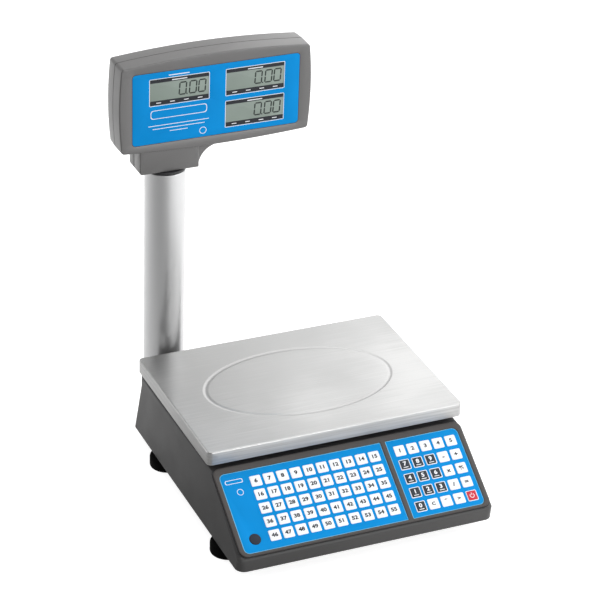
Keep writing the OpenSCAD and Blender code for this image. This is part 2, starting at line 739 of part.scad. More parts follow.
base_pan();
top_housing();
key_bezel();
key_overlay_left();
key_overlay_right();
key_board();
seal_plug();
keys(preset_row(1), "white");  // preset_keys_row_1
keys(preset_row(2), "white");  // preset_keys_row_2
keys(preset_row(3), "white");  // preset_keys_row_3
keys(preset_row(4), "white");  // preset_keys_row_4
keys(preset_row(5), "white");  // preset_keys_row_5
keys([for (column = [1:5]) pad_key(1, column)], "white");  // quick_keys
keys([for (column = [1:3]) pad_key(2, column)], "#333842");  // digit_keys_789
keys([for (column = [1:3]) pad_key(3, column)], "#333842");  // digit_keys_456
keys([for (column = [1:3]) pad_key(4, column)], "#333842");  // digit_keys_123
keys([pad_key(5, 1)], "#333842");  // digit_key_0
keys([for (row = [2:4], column = [4:5]) pad_key(row, column)], "white");  // function_keys
keys([pad_key(5, 2)], "white");  // clear_key
keys([pad_key(5, 3)], "white");  // enter_key
keys([pad_key(5, 4)], "white");  // print_key
keys([pad_key(5, 5)], "#e23b48");  // power_key
platter();
platter_spider();
spider_pads();
load_cell();
load_cell_bolts();
foot(0);  // foot_front_left
foot(1);  // foot_front_right
foot(2);  // foot_rear_left
foot(3);  // foot_rear_right
main_board();
power_supply();
mains_inlet();
rear_ports();
base_screws();
pole_socket();
pole();
swivel_collar();
neck_bush();
head_front_shell();
head_rear_shell();
head_panel_front();
head_panel_rear();
lcd_modules();
head_board();
printer_frame();
roll_spindle();
roll_core();
label_roll();
platen_roller();
platen_gear();
feed_motor();
motor_gear();
motor_shaft();
print_head();
print_head_spring();
printer_door();
door_pin();
door_latch();
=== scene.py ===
"""Looks of the label printing scale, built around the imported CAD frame. Metres, +X right, +Y back, +Z up."""

import math

import bmesh
import bpy
from mathutils import Matrix, Vector


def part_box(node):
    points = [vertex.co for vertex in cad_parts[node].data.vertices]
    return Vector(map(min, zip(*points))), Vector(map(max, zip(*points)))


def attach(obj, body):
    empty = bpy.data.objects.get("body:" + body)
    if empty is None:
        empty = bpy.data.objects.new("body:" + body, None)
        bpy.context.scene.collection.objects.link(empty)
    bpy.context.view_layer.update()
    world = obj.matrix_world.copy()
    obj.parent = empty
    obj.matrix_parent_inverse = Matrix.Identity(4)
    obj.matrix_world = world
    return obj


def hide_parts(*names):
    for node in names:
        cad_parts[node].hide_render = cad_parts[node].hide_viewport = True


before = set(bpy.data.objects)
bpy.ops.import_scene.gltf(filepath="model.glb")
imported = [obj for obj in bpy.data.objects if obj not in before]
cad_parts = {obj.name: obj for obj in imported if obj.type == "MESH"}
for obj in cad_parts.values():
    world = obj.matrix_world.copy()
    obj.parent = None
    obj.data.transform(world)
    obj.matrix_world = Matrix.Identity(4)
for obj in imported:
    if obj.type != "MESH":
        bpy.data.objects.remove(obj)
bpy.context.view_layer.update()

MM = 0.001

# -------- places, from the frame

tray_low, tray_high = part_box("platter")
TRAY = Vector(((tray_low.x + tray_high.x) / 2, (tray_low.y + tray_high.y) / 2, tray_high.z))


def at(x, y, z):
    """A place in millimetres from the middle of the tray's top, in the frame's metres."""
    return TRAY + Vector((x, y, z)) * MM


def local_box(node):
    """A CAD node's corners in millimetres from the middle of the tray's top."""
    low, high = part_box(node)
    return (low - TRAY) / MM, (high - TRAY) / MM


DECK_ANGLE = math.radians(32.4)
DECK_TOP = (0, -141.9, -32.3)
DECK = Matrix.Translation(at(*DECK_TOP)) @ Matrix.Rotation(DECK_ANGLE, 4, "X")
FLAT = Matrix.Translation(TRAY)


def link(name, data):
    """A new object in the scene, holding this data."""
    obj = bpy.data.objects.new(name, data)
    bpy.context.collection.objects.link(obj)
    return obj


# -------- camera


def add_camera():
    """A long lens, high on the left of the front."""
    yaw, pitch, roll = math.radians(24.25), math.radians(28.59), math.radians(2.05)
    distance, aim_right, aim_up = 3.5891, -0.0022, -0.1119
    ahead = Vector((math.sin(yaw) * math.cos(pitch), math.cos(yaw) * math.cos(pitch), -math.sin(pitch)))
    level = Vector((math.cos(yaw), -math.sin(yaw), 0))
    upward = level.cross(ahead)
    right = math.cos(roll) * level + math.sin(roll) * upward
    up = -math.sin(roll) * level + math.cos(roll) * upward
    place = TRAY - ahead * distance - right * aim_right - up * aim_up
    data = bpy.data.cameras.new("camera")
    data.lens = 154.81
    data.sensor_width = 36
    camera = link("camera", data)
    turn = Matrix((right, up, -ahead)).transposed().to_4x4()
    camera.matrix_world = Matrix.Translation(place) @ turn
    bpy.context.scene.camera = camera


# -------- materials

# the sockets of a colour Mix node
MIX_FACTOR, MIX_FIRST, MIX_SECOND, MIX_RESULT = 0, 6, 7, 2


def calculate(tree, operation, *values):
    """A Math node's output; each value is a number or another node's output."""
    node = tree.nodes.new("ShaderNodeMath")
    node.operation = operation
    for socket, value in zip(node.inputs, values):
        if isinstance(value, bpy.types.NodeSocket):
            tree.links.new(value, socket)
        else:
            socket.default_value = value
    return node.outputs["Value"]


def map_range(tree, value, start, end, low, high, blend="LINEAR"):
    """Turns start..end into low..high, and stops there."""
    node = tree.nodes.new("ShaderNodeMapRange")
    node.interpolation_type = blend
    tree.links.new(value, node.inputs["Value"])
    for socket, number in (("From Min", start), ("From Max", end), ("To Min", low), ("To Max", high)):
        node.inputs[socket].default_value = number
    return node.outputs["Result"]


class Shader:
    """A Principled material whose inputs are fed by procedural nodes in object space."""

    def __init__(self, name, color, roughness, metallic=0.0):
        self.material = bpy.data.materials.new(name)
        self.material.use_nodes = True
        self.tree = self.material.node_tree
        self.surface = self.tree.nodes["Principled BSDF"]
        self.color = color
        self.where = self.tree.nodes.new("ShaderNodeTexCoord").outputs["Object"]
        self.set("Base Color", (*color, 1))
        self.set("Roughness", roughness)
        self.set("Metallic", metallic)

    def set(self, socket, value):
        """Gives one of the surface's inputs a constant value."""
        self.surface.inputs[socket].default_value = value

    def stretched(self, scale, turn=(0, 0, 0)):
        """Object coordinates, scaled and turned."""
        mapping = self.tree.nodes.new("ShaderNodeMapping")
        mapping.inputs["Scale"].default_value = scale
        mapping.inputs["Rotation"].default_value = turn
        self.tree.links.new(self.where, mapping.inputs["Vector"])
        return mapping.outputs["Vector"]

    def noise(self, scale, detail, where=None):
        """Smooth noise between 0 and 1; its features are about 1 / scale metres wide."""
        node = self.tree.nodes.new("ShaderNodeTexNoise")
        node.inputs["Scale"].default_value = scale
        node.inputs["Detail"].default_value = detail
        self.tree.links.new(where or self.where, node.inputs["Vector"])
        return node.outputs["Fac"]

    def spread(self, noise, low, high):
        """Spreads the middle of the noise's range from low to high."""
        return map_range(self.tree, noise, 0.3, 0.7, low, high)

    def shade(self, noise, darker, lighter):
        """Varies the base colour between two factors."""
        node = self.tree.nodes.new("ShaderNodeMix")
        node.data_type = "RGBA"
        for socket, factor in ((MIX_FIRST, darker), (MIX_SECOND, lighter)):
            node.inputs[socket].default_value = (*[min(1, c * factor) for c in self.color], 1)
        self.tree.links.new(self.spread(noise, 0, 1), node.inputs[MIX_FACTOR])
        self.tree.links.new(node.outputs[MIX_RESULT], self.surface.inputs["Base Color"])

    def vary_roughness(self, noise, low, high):
        """Varies the roughness between two values."""
        self.tree.links.new(self.spread(noise, low, high), self.surface.inputs["Roughness"])

    def bump(self, noise, height):
        """Raises the surface by up to this many metres where the noise is high."""
        node = self.tree.nodes.new("ShaderNodeBump")
        node.inputs["Distance"].default_value = height
        self.tree.links.new(noise, node.inputs["Height"])
        self.tree.links.new(node.outputs["Normal"], self.surface.inputs["Normal"])


def plastic(name, color, roughness, grain=620, depth=0.00004, gloss=0.4):
    """Moulded plastic with a fine spark-eroded grain and slight colour drift."""
    shader = Shader(name, color, roughness)
    shader.shade(shader.noise(14, 4), 0.975, 1.025)
    shader.vary_roughness(shader.noise(22, 1), roughness - 0.03, roughness + 0.04)
    shader.bump(shader.noise(grain, 3, shader.stretched((1, 1, 1), (0.5, 0.8, 1.1))), depth)
    shader.set("Specular IOR Level", gloss)
    return shader.material


def brushed(name, color, roughness, depth, across=(30, 2200, 2200), contrast=0.08, anisotropy=0.4, bands=0.0):
    """Brushed metal: fine streaks along the brushing, with patches of slightly different polish.

    Bands above zero add lines that run level round the bent edges of a sheet.
    """
    shader = Shader(name, color, roughness, 1.0)
    streaks = shader.noise(1, 6, shader.stretched(across))
    if bands:
        level_lines = shader.spread(shader.noise(1, 3, shader.stretched((5, 5, 640))), -1, 1)
        streaks = calculate(shader.tree, "MULTIPLY_ADD", level_lines, bands, streaks)
    shader.shade(streaks, 1 - contrast, 1 + contrast)
    shader.vary_roughness(shader.noise(9, 3), roughness - 0.04, roughness + 0.05)
    shader.bump(streaks, depth)
    shader.set("Anisotropic", anisotropy)
    tangent = shader.tree.nodes.new("ShaderNodeCombineXYZ")
    tangent.inputs["Y"].default_value = 1
    shader.tree.links.new(tangent.outputs["Vector"], shader.surface.inputs["Tangent"])
    return shader.material


def satin_paint(name, color, roughness, metallic):
    """Sprayed metallic paint: faint orange peel and tiny flakes."""
    shader = Shader(name, color, roughness, metallic)
    shader.shade(shader.noise(2600, 1), 0.97, 1.03)
    shader.bump(shader.noise(420, 2), 0.00004)
    shader.vary_roughness(shader.noise(30, 3), roughness - 0.04, roughness + 0.04)
    return shader.material


def film(name, color, roughness=0.38, gloss=0.2):
    """Printed polyester film with a very fine texture."""
    shader = Shader(name, color, roughness)
    shader.set("Specular IOR Level", gloss)
    shader.shade(shader.noise(24, 3), 0.97, 1.03)
    shader.bump(shader.noise(3200, 1), 0.000015)
    shader.vary_roughness(shader.noise(160, 3), roughness - 0.04, roughness + 0.05)
    return shader.material


def rubber(name, color):
    """Matt black rubber, slightly dusty."""
    shader = Shader(name, color, 0.75)
    shader.set("Specular IOR Level", 0.05)
    shader.shade(shader.noise(160, 4), 0.8, 1.25)
    shader.bump(shader.noise(900, 3), 0.0001)
    shader.vary_roughness(shader.noise(60, 3), 0.65, 0.85)
    return shader.material


def circuit_board(name):
    """Green solder mask over tracks."""
    shader = Shader(name, (0.012, 0.10, 0.04), 0.35)
    shader.shade(shader.noise(350, 1), 0.6, 1.5)
    shader.bump(shader.noise(350, 1), 0.00003)
    return shader.material


def lcd_glass(name):
    """The reflective grey-green ground of a liquid-crystal window."""
    shader = Shader(name, (0.205, 0.255, 0.222), 0.22)
    shader.shade(shader.noise(18, 2), 0.94, 1.06)
    shader.bump(shader.noise(2500, 1), 0.000006)
    shader.set("Coat Weight", 0.35)
    shader.set("Coat Roughness", 0.08)
    return shader.material


def paper(name, color):
    """Paper wound on a roll: fine rings of slightly different tone."""
    shader = Shader(name, color, 0.7)
    rings = shader.noise(1, 2, shader.stretched((900, 40, 900)))
    shader.shade(rings, 0.9, 1.05)
    shader.bump(rings, 0.00005)
    return shader.material


# a varied roughness may not fall below 0.28, or the denoiser leaves patches with hard edges
HOUSING = plastic("housing_plastic", (0.064, 0.063, 0.063), 0.42, gloss=0.22)
HEAD = plastic("head_plastic", (0.125, 0.123, 0.122), 0.33, 700, 0.00003, gloss=0.55)
BEZEL = plastic("bezel_plastic", (0.054, 0.049, 0.047), 0.42, 800, 0.00002, gloss=0.28)
DARK = plastic("dark_plastic", (0.018, 0.018, 0.020), 0.4)
PLUG = plastic("plug_plastic", (0.015, 0.020, 0.034), 0.45, gloss=0.2)
NYLON = plastic("nylon", (0.72, 0.70, 0.62), 0.45, 600, 0.00002)
BLUE = film("blue_film", (0.003, 0.240, 0.608), gloss=0.04)
# a lighter blue, painted as the highlight along the key films' edges
EDGE_HIGHLIGHT_BLUE = film("blue_film_edge_highlight", (0.16, 0.50, 0.72))
WHITE = film("white_print", (0.80, 0.82, 0.85), 0.35)
INK = film("black_ink", (0.018, 0.020, 0.026), 0.35)
SEGMENT = film("lcd_segment", (0.022, 0.030, 0.026), 0.34)
KEY_DARK = film("dark_key_print", (0.022, 0.028, 0.038), 0.34)
RED = film("red_key_print", (0.52, 0.018, 0.038), 0.32)
STEEL = brushed("brushed_tray", (0.44, 0.44, 0.437), 0.36, 0.000012, (14, 1500, 480),
                contrast=0.10, anisotropy=0.5, bands=0.3)
PRESSED = brushed("zinc_sheet", (0.50, 0.51, 0.53), 0.4, 0.00001)
MACHINED = brushed("machined_aluminium", (0.62, 0.63, 0.65), 0.33, 0.00001, (400, 400, 400))
CAST = satin_paint("cast_aluminium", (0.36, 0.36, 0.36), 0.55, 0.9)
SILVER = satin_paint("silver_paint", (0.57, 0.572, 0.575), 0.32, 0.85)
BLACK_COAT = satin_paint("black_powder_coat", (0.022, 0.022, 0.024), 0.55, 0.0)
BRASS = brushed("brass", (0.72, 0.50, 0.20), 0.33, 0.00001, (500, 500, 500))
FASTENER = brushed("plated_steel", (0.56, 0.57, 0.59), 0.33, 0.00001, (600, 600, 600))
RUBBER = rubber("rubber", (0.002, 0.002, 0.002))
GREEN = circuit_board("circuit_board")
GLASS = lcd_glass("lcd_ground")
PAPER = paper("label_paper", (0.82, 0.82, 0.79))
CARD = paper("core_card", (0.42, 0.28, 0.15))

# -------- mesh helpers

SHARP = 35  # edges steeper than this many degrees stay crisp
WELD = 0.0001  # points closer than this many millimetres become one


def smooth(mesh, sharp=SHARP):
    """Smooth shading, except across sharp edges."""
    for polygon in mesh.polygons:
        polygon.use_smooth = True
    mesh.set_sharp_from_angle(angle=math.radians(sharp))


def add_object(name, mesh, material, body, replaced=(), sharp=SHARP):
    """Links a mesh, smooths it up to an angle and lets it ride on its body."""
    smooth(mesh, sharp)
    obj = link(name, mesh)
    mesh.materials.append(material)
    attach(obj, body)
    if replaced:
        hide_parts(*replaced)
    return obj


def to_mesh(bm, name, place=FLAT):
    """Ends a bmesh drawn in the millimetres of a place."""
    bmesh.ops.remove_doubles(bm, verts=bm.verts, dist=WELD)
    bmesh.ops.recalc_face_normals(bm, faces=bm.faces)
    bm.transform(place @ Matrix.Scale(MM, 4))
    mesh = bpy.data.meshes.new(name)
    bm.to_mesh(mesh)
    bm.free()
    return mesh


def arc(center, radius, start, end, steps):
    """Points on a circle from one angle to another, in degrees."""
    angles = [math.radians(start + (end - start) * k / steps) for k in range(steps + 1)]
    return [(center[0] + radius * math.cos(a), center[1] + radius * math.sin(a)) for a in angles]


def rounded_rect(width, depth, radius, center=(0, 0), steps=8):
    """An outline function: outline(inset) gives the rounded rectangle's points."""

    def outline(inset=0.0):
        w, d, r = width / 2 - inset, depth / 2 - inset, max(radius - inset, 0.05)
        points = []
        for quarter, (sx, sy) in enumerate([(1, 1), (-1, 1), (-1, -1), (1, -1)]):
            middle = (center[0] + sx * (w - r), center[1] + sy * (d - r))
            points += arc(middle, r, 90 * quarter, 90 * quarter + 90, steps)
        return points

    return outline


def walked(outline, group, extra):
    """The same outline with extra points on the straight run after each group of corner points."""

    def fuller(inset=0.0):
        points, result = outline(inset), []
        for start in range(0, len(points), group):
            result += points[start:start + group]
            (ax, ay), (bx, by) = points[start + group - 1], points[(start + group) % len(points)]
            for k in range(1, extra + 1):
                t = k / (extra + 1)
                result.append((ax + (bx - ax) * t, ay + (by - ay) * t))
        return result

    return fuller


def circle(radius, center=(0, 0), steps=64):
    """An outline function for a circle."""
    return lambda inset=0.0: arc(center, radius - inset, 0, 360, steps)[:-1]


def rectangle(low, high):
    """A rectangle's four corners, from its low and high ones."""
    return [low, (high[0], low[1]), high, (low[0], high[1])]


def add_ring(bm, points, z):
    """Adds points at one height, and gives them back."""
    return [bm.verts.new((x, y, z)) for x, y in points]


def add_strip(bm, first, second):
    """Joins two open rows of the same number of points with quads."""
    for i in range(len(first) - 1):
        bm.faces.new((first[i], first[i + 1], second[i + 1], second[i]))


def bridge(bm, first, second):
    """Joins two equal rings with quads, or a ring and one point with triangles."""
    tip, ring = sorted((first, second), key=len)
    count = len(ring)
    for i in range(count):
        j = (i + 1) % count
        if len(tip) == 1:
            bm.faces.new((tip[0], ring[i], ring[j]))
        else:
            bm.faces.new((first[i], first[j], second[j], second[i]))


def fill(bm, *rings):
    """Closes a flat region between one outer ring and any holes."""
    if len(rings) == 1:
        bm.faces.new(rings[0])
        return
    edges = []
    for ring in rings:
        for pair in zip(ring, ring[1:] + ring[:1]):
            edges.append(bm.edges.get(pair) or bm.edges.new(pair))
    bmesh.ops.triangle_fill(bm, use_beauty=True, use_dissolve=False, edges=edges)


def plate(bm, outer, low, high, edge, holes=(), hole_edge=None):
    """A plate with a rounded top edge, drawn into bm. Outlines are functions of their inset."""
    hole_edge = edge if hole_edge is None else hole_edge
    steps = 4
    tops, bottoms = [], []
    for outline, sign, lip in [(outer, 1, edge)] + [(hole, -1, hole_edge) for hole in holes]:
        bottom = add_ring(bm, outline(0), low)
        last = bottom
        for k in range(steps + 1 if lip else 1):
            angle = math.pi / 2 * k / steps
            inset = sign * lip * (1 - math.cos(angle))
            ring = add_ring(bm, outline(inset), high - lip + lip * math.sin(angle))
            bridge(bm, last, ring)
            last = ring
        bottoms.append(bottom)
        tops.append(last)
    fill(bm, *tops)
    fill(bm, *bottoms)


def plates(name, items, place, material, body, replaced=()):
    """One object made of several plates; each item is plate()'s arguments."""
    bm = bmesh.new()
    for item in items:
        plate(bm, *item)
    return add_object(name, to_mesh(bm, name, place), material, body, replaced)


def lathe(name, profile, center, material, body, replaced, steps=96):
    """A closed body of revolution about an upright axis; profile is (radius, z) in millimetres."""
    bm = bmesh.new()
    rings = []
    for radius, z in profile:
        rings.append(add_ring(bm, circle(radius, center, steps)() if radius else [center], z))
    for first, second in zip(rings, rings[1:] + rings[:1]):
        if len(first) + len(second) > 2:
            bridge(bm, first, second)
    return add_object(name, to_mesh(bm, name), material, body, replaced)


def add_block(bm, low, high):
    """Adds a plain block between its low and high corners."""
    size, middle = Vector(high) - Vector(low), (Vector(high) + Vector(low)) / 2
    bmesh.ops.create_cube(bm, size=1, matrix=Matrix.Translation(middle) @ Matrix.Diagonal((*size, 1)))


def blocks(name, items, material, body, place=FLAT):
    """One object made of plain blocks given by their low and high corners."""
    bm = bmesh.new()
    for low, high in items:
        add_block(bm, low, high)
    return add_object(name, to_mesh(bm, name, place), material, body)


def cutter(low, high, place=FLAT):
    """A block to cut a piece with."""
    bm = bmesh.new()
    add_block(bm, low, high)
    return link("cutter", to_mesh(bm, "cutter", place))


def cut(obj, tools, operation="DIFFERENCE"):
    """Cuts a piece with the tools, or joins them to it, and removes them."""
    for tool in tools:
        modifier = obj.modifiers.new("cut", "BOOLEAN")
        modifier.operation = operation
        modifier.solver = "EXACT"
        modifier.object = tool
    graph = bpy.context.evaluated_depsgraph_get()
    mesh = bpy.data.meshes.new_from_object(obj.evaluated_get(graph))
    obj.modifiers.clear()
    obj.data = mesh
    smooth(mesh)
    for tool in tools:
        bpy.data.objects.remove(tool)


# -------- tray


def build_tray():
    """The pressed steel tray: flat top with an oval ring, bent edge, lip and rounded corners."""
    width, depth = (tray_high.x - tray_low.x) / MM, (tray_high.y - tray_low.y) / MM
    lip = (tray_high.z - tray_low.z) / MM
    ring_x, ring_y, half, sink = 134.8, 85.1, 4.4, 0.7
    bend, corner, sheet, hem = 1.9, 7.0, 1.2, 0.7
    guard = 0.5  # flat strips beside the bends keep the shading of the flat even
    corner_steps, extra = 12, 40
    groove_steps, bend_steps, hem_steps = 6, 6, 4
    edge = walked(rounded_rect(width, depth, corner, steps=corner_steps), corner_steps + 1, extra)
    bm = bmesh.new()

    def oval(grow):
        """The pressed ring's middle line, moved outwards."""
        points = []
        for x, y in edge(bend):
            angle = math.atan2(y / (ring_y + grow), x / (ring_x + grow))
            points.append(((ring_x + grow) * math.cos(angle), (ring_y + grow) * math.sin(angle)))
        return points

    def surface(low):
        """The sheet's outer (low=0) or inner face, from the middle to the lip's end."""
        rings = [[bm.verts.new((0, 0, -low))]]
        for grow in (-60, -30, -half - guard):
            rings.append(add_ring(bm, oval(grow), -low))
        for k in range(-groove_steps, groove_steps + 1):
            z = -sink * 0.5 * (1 + math.cos(math.pi * k / groove_steps))
            rings.append(add_ring(bm, oval(half * k / groove_steps), z - low))
        rings.append(add_ring(bm, oval(half + guard), -low))
        rings.append(add_ring(bm, edge(bend + guard), -low))
        for k in range(bend_steps + 1):
            angle = math.pi / 2 * k / bend_steps
            inset = low + (bend - low) * (1 - math.sin(angle))
            rings.append(add_ring(bm, edge(inset), -low - (bend - low) * (1 - math.cos(angle))))
        for k in range(hem_steps + 1):
            angle = math.pi / 2 * k / hem_steps
            inset = low + hem * (1 - math.cos(angle))
            rings.append(add_ring(bm, edge(inset), -lip + hem * (1 - math.sin(angle))))
        return rings

    outer, inner = surface(0), surface(sheet)
    for rings in (outer, inner):
        for first, second in zip(rings, rings[1:]):
            bridge(bm, first, second)
    bridge(bm, outer[-1], inner[-1])
    add_object("tray", to_mesh(bm, "tray"), STEEL, "platter", ("platter",), sharp=50)


# -------- housing

FLOOR, ROOF = -120.0, -29.0
FRONT, REAR = -246.5, 155.0
LEAN = math.radians(11.8)
HALF_BOTTOM, HALF_TOP = 187.6, 183.0
WALL = 3.0
DECK_DROP = 2.0  # the housing's deck lies this far below the key films
FRONT_ROUND, DECK_ROUND, ROOF_ROUND, REAR_ROUND = 13.0, 9.0, 3.5, 10.0


def half_width(z):
    """The base's half width: its sides lean in towards the roof."""
    return HALF_BOTTOM + (HALF_TOP - HALF_BOTTOM) * (z - FLOOR) / (ROOF - FLOOR)


def side_profile():
    """The base's side outline as (y, z, outward normal, side rounding), front bottom to rear bottom."""
    slope = math.degrees(DECK_ANGLE)
    low_y = DECK_TOP[1] + DECK_DROP * math.sin(DECK_ANGLE)
    low_z = DECK_TOP[2] - DECK_DROP * math.cos(DECK_ANGLE)
    nose, heel = 7.0, 8.0
    corner_z = low_z + (FRONT - low_y) * math.tan(DECK_ANGLE)
    nose_z = corner_z - nose / math.tan(math.radians((90 + slope) / 2))
    lean = math.degrees(LEAN)
    rear_z = ROOF - heel
    rear_y = REAR - (rear_z - FLOOR) * math.tan(LEAN) - heel / math.cos(LEAN)
    roof_y = low_y + (ROOF - low_z) / math.tan(DECK_ANGLE)
    points = []

    def add(y, z, angle, rounding):
        a = math.radians(angle)
        points.append((y, z, math.cos(a), math.sin(a), rounding))

    def straight(y, z, angle, steps, rounding):
        """Walks from the last point to a new one; the rounding depends on the way gone."""
        start_y, start_z = points[-1][:2]
        for k in range(1, steps):
            t = k / steps
            add(start_y + (y - start_y) * t, start_z + (z - start_z) * t, angle, rounding(t))

    # the front wall and its nose
    add(FRONT, FLOOR, 180, FRONT_ROUND)
    straight(FRONT, nose_z, 180, 6, lambda t: FRONT_ROUND - 4 * t)
    for k, (y, z) in enumerate(arc((FRONT + nose, nose_z), nose, 180, 90 + slope, 8)):
        add(y, z, 180 - (90 - slope) * k / 8, DECK_ROUND - 3 * k / 8)
    # the deck, and the soft corner where it meets the roof
    straight(roof_y, ROOF, 90 + slope, 20, lambda t: max(ROOF_ROUND, DECK_ROUND - 3 - 10 * t))
    add(roof_y - 0.5, ROOF - 0.32, 90 + slope * 0.66, ROOF_ROUND)
    add(roof_y + 0.6, ROOF, 90 + slope * 0.25, ROOF_ROUND)
    # the roof, the heel and the leaning rear wall
    for k in range(1, 12):
        add(roof_y + 0.6 + (rear_y - roof_y) * k / 12, ROOF, 90, ROOF_ROUND)
    for k, (y, z) in enumerate(arc((rear_y, rear_z), heel, 90, lean, 8)):
        add(y, z, 90 + (lean - 90) * k / 8, ROOF_ROUND + (REAR_ROUND - ROOF_ROUND) * k / 8)
    straight(REAR, FLOOR, lean, 6, lambda t: REAR_ROUND)
    add(REAR, FLOOR, 0, REAR_ROUND)
    return points


def base_skin(bm, inward=0.0):
    """The base's outer face, or the same moved inwards, open at the bottom; gives its border."""
    profile = side_profile()
    steps = 8
    angles = [math.pi / 2 * k / steps for k in range(steps + 1)]
    rings = []
    for side in (-1, 1):
        for angle in angles if side > 0 else reversed(angles):
            ring = []
            for y, z, ny, nz, rounding in profile:
                r = max(rounding - inward, 0.6)
                move = inward + r * (1 - math.cos(angle))
                yy, zz = y - ny * move, z - nz * move
                if abs(z - FLOOR) < 1e-6:
                    zz = FLOOR
                x = half_width(zz) - inward - r * (1 - math.sin(angle))
                ring.append(bm.verts.new((side * x, yy, zz)))
            rings.append(ring)
    for first, second in zip(rings, rings[1:]):
        add_strip(bm, first, second)
    # the flat sides
    bm.faces.new(rings[0])
    bm.faces.new(rings[-1])
    return [ring[0] for ring in rings] + [ring[-1] for ring in reversed(rings)]


def build_housing():
    """The grey upper housing, hollow, with its openings."""
    bm = bmesh.new()
    outer = base_skin(bm)
    inner = base_skin(bm, WALL)
    bridge(bm, outer, inner)
    mesh = to_mesh(bm, "upper_housing")
    housing = add_object("upper_housing", mesh, HOUSING, "base", ("top_housing",))
    bracket_low, bracket_high = local_box("pole_socket")
    low, high = local_box("printer_door")
    tools = [
        cutter((-177, -117, -9), (177, -1, 4), DECK),
        cutter((low.x - 2, low.y - 0.6, low.z - 1.4), (high.x + 4, high.y + 0.6, high.z + 0.6)),
        cutter((-30, -67, ROOF - 10), (30, -21, ROOF + 4)),
        cutter((14, 120, FLOOR - 1), (134, REAR + 5, -76)),
        cutter((bracket_low.x - 4.5, REAR - 12, FLOOR - 3), (bracket_high.x + 4.5, REAR + 5, -117.8)),
    ]
    cut(housing, tools)


# -------- keyboard

OVERLAY_LENGTH = 118.7
# each overlay's span across the deck, and its two corner radii
OVERLAYS = {"left": ((-176.2, 60.8), (8, 1.2)), "right": ((67.9, 176.2), (1.2, 8))}
BEZEL_W, BEZEL_H = 366.4, 132.1
BEZEL_MIDDLE = (0, -56.55)
PLUG_PLACE = (-156.1, -99.7)
KEY = 15.5
KEY_PITCH = 19.3
PRESET_START = (-128.0, 18.5)
PRESET_ROW = 20.3
PAD_START = (84.2, 17.8)
PAD_ROW = 21.4
KEY_FOOT = -1.2
KEY_RISE = 0.7
PRINT = 0.03  # how far printing stands above what it is printed on


def overlay_outline(side, grow=0.0):
    """One overlay's outline: two big outer corners and two tight ones at the divider."""
    span, corners = OVERLAYS[side]
    x0, x1 = span[0] - grow, span[1] + grow
    y0, y1 = -OVERLAY_LENGTH - grow, grow
    places = [(x1, y1, corners[1], 0), (x0, y1, corners[0], 90),
              (x0, y0, corners[0], 180), (x1, y0, corners[1], 270)]

    def outline(inset=0.0):
        points = []
        for x, y, radius, start in places:
            sx = -1 if x == x1 else 1
            sy = -1 if y == y1 else 1
            r = max(radius + grow - inset, 0.2)
            middle = (x + sx * (inset + r), y + sy * (inset + r))
            points += arc(middle, r, start, start + 90, 8)
        return points

    return outline


def bezel_outline(grow_x, grow_y, corner):
    """The bezel's outline, made larger."""
    return rounded_rect(BEZEL_W + grow_x, BEZEL_H + grow_y, corner, BEZEL_MIDDLE, 10)


def build_bezel():
    """The raised taupe frame round both overlays, with the groove outside it painted dark as its shadow."""
    windows = [overlay_outline(side) for side in OVERLAYS]
    frame_plate = (bezel_outline(0, 0, 11), -DECK_DROP, 1.0, 1.2, windows, 0.5)
    plates("key_bezel_frame", [frame_plate], DECK, BEZEL, "base", ("key_bezel",))
    # a dark plate on the housing round the bezel: the groove's painted shadow
    hole = bezel_outline(-0.2, -0.2, 11)
    groove_shadow = (bezel_outline(3.0, 2.4, 12), -DECK_DROP - 0.2, -DECK_DROP + 0.35, 0.1, [hole])
    plates("bezel_groove_shadow", [groove_shadow], DECK, DARK, "base")


def build_overlays():
    """The two printed films, and the dark plug in the left one."""
    for side, holes in (("left", [circle(8.1, PLUG_PLACE)]), ("right", [])):
        item = (overlay_outline(side, -0.15), -0.5, 0, 0.15, holes)
        plates("key_film_" + side, [item], DECK, BLUE, "base", ("key_overlay_" + side,))
    # a thin lighter blue line just inside each film's edge: a painted highlight
    lines = [(overlay_outline(side, -0.2), -0.1, 0.02, 0, [overlay_outline(side, -0.9)]) for side in OVERLAYS]
    plates("key_film_edge_highlight", lines, DECK, EDGE_HIGHLIGHT_BLUE, "base")
    bar = [rounded_rect(25 - trim, 6 - trim, 2, (-158, -13.5), 6) for trim in (0, 1.6)]
    spot = [circle(radius, (-154, -30), 32) for radius in (4.6, 3.9)]
    marks = [(outer, -0.1, PRINT, 0, [hole]) for outer, hole in (bar, spot)]
    plates("key_film_marks", marks, DECK, WHITE, "base")
    plug = (circle(7.9, PLUG_PLACE), -1.7, 0.35, 0.5)
    plates("seal_plug_cap", [plug], DECK, PLUG, "base", ("seal_plug",))


def add_text(bm, text, size, x, y, z, wide=1.0, weight=0.03):
    """Adds flat, centred lettering to bm."""
    curve = bpy.data.curves.new("label", "FONT")
    curve.body = text
    curve.size = size
    curve.align_x = "CENTER"
    curve.align_y = "CENTER"
    curve.resolution_u = 3
    curve.offset = weight * size
    holder = link("label", curve)
    graph = bpy.context.evaluated_depsgraph_get()
    graph.update()
    mesh = bpy.data.meshes.new_from_object(holder.evaluated_get(graph))
    bpy.data.objects.remove(holder)
    mesh.transform(Matrix.Translation((x, y, z)) @ Matrix.Diagonal((wide, 1, 1, 1)))
    bm.from_mesh(mesh)
    bpy.data.meshes.remove(mesh)


def key_items(places, high=KEY_RISE):
    """The plates of some key caps."""
    return [(rounded_rect(KEY, KEY, 1.7, (x, -s), 5), KEY_FOOT, high, 0.35) for x, s in places]


def face_items(places, margin, radius):
    """The plates of some coloured key faces, inside a white border."""
    size = KEY - margin
    return [(rounded_rect(size, size, radius, (x, -s), 5), KEY_RISE - 0.2, KEY_RISE, 0.04) for x, s in places]


def add_print(name, bm, material, node):
    """Turns bm into the printing on a key body."""
    add_object(name, to_mesh(bm, name, DECK), material, node)


